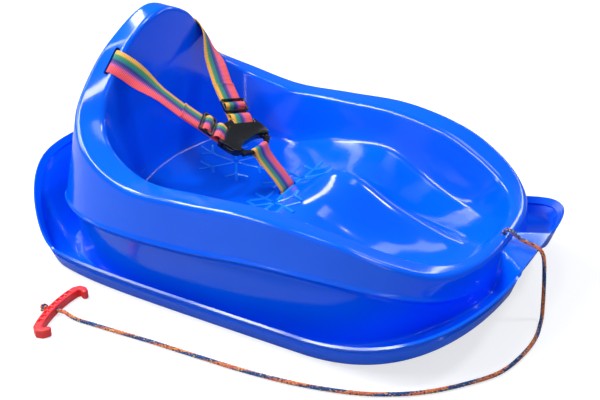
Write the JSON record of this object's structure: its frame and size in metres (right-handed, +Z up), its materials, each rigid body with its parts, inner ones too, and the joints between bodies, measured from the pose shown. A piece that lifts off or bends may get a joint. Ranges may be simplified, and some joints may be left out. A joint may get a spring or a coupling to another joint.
{
  "type": "baby pull sled",
  "caption": "Moulded plastic toddler sled with a bucket seat, raised backrest, shoulder and crotch harness, side-release buckle, and a tow rope with a pull handle.",
  "frame": {"origin": "on the ground under the middle of the moulded shell's length and width", "axes": "+X points forward to the nose, +Y to the rider's left, +Z up"},
  "size_m": [0.7566, 0.6281, 0.3407],
  "materials": {
    "shell": "glossy royal blue moulded plastic",
    "webbing": "woven webbing with lengthwise stripes in yellow, green, teal, navy, purple and coral",
    "buckle_plastic": "charcoal moulded plastic",
    "rope": "braided cord in coral and blue with dark flecks",
    "handle_plastic": "satin red moulded plastic"
  },
  "bodies": {
    "sled": {"hull_shell": "shell", "left_shoulder_strap": "webbing", "right_shoulder_strap": "webbing", "crotch_strap": "webbing", "left_strap_keeper": "buckle_plastic", "right_strap_keeper": "buckle_plastic", "crotch_strap_keeper": "buckle_plastic", "buckle_housing": "buckle_plastic", "tow_rope": "rope", "rope_stop_knot": "rope", "pull_handle": "handle_plastic", "handle_knot": "rope"},
    "insert": {"buckle_insert": "buckle_plastic"},
    "left_arm": {"buckle_left_release_arm": "buckle_plastic"},
    "right_arm": {"buckle_right_release_arm": "buckle_plastic"},
    "left_slider": {"left_strap_slider": "buckle_plastic"},
    "right_slider": {"right_strap_slider": "buckle_plastic"}
  },
  "joints": [
    {"name": "buckle_release", "type": "slide", "parent": "sled", "child": "insert", "axis": [0.9171, 0, -0.3987], "range_m": [0, 0.026], "deforming": ["crotch_strap"]},
    {"name": "left_arm_squeeze", "type": "hinge", "parent": "insert", "child": "left_arm", "pos_m": [-0.07349, 0.028, 0.15722], "axis": [0.3987, 0, 0.9171], "range_deg": [0, 5], "stiffness_Nm_per_rad": 0.05},
    {"name": "right_arm_squeeze", "type": "hinge", "parent": "insert", "child": "right_arm", "pos_m": [-0.07349, -0.04, 0.15722], "axis": [-0.3987, 0, -0.9171], "range_deg": [0, 5], "stiffness_Nm_per_rad": 0.05},
    {"name": "left_slider_adjust", "type": "slide", "parent": "sled", "child": "left_slider", "axis": [-0.691, 0.4066, 0.5976], "range_m": [-0.012, 0.025], "deforming": ["left_shoulder_strap"]},
    {"name": "right_slider_adjust", "type": "slide", "parent": "sled", "child": "right_slider", "axis": [-0.6864, -0.4057, 0.6035], "range_m": [-0.004, 0.025], "deforming": ["right_shoulder_strap"]}
  ]
}
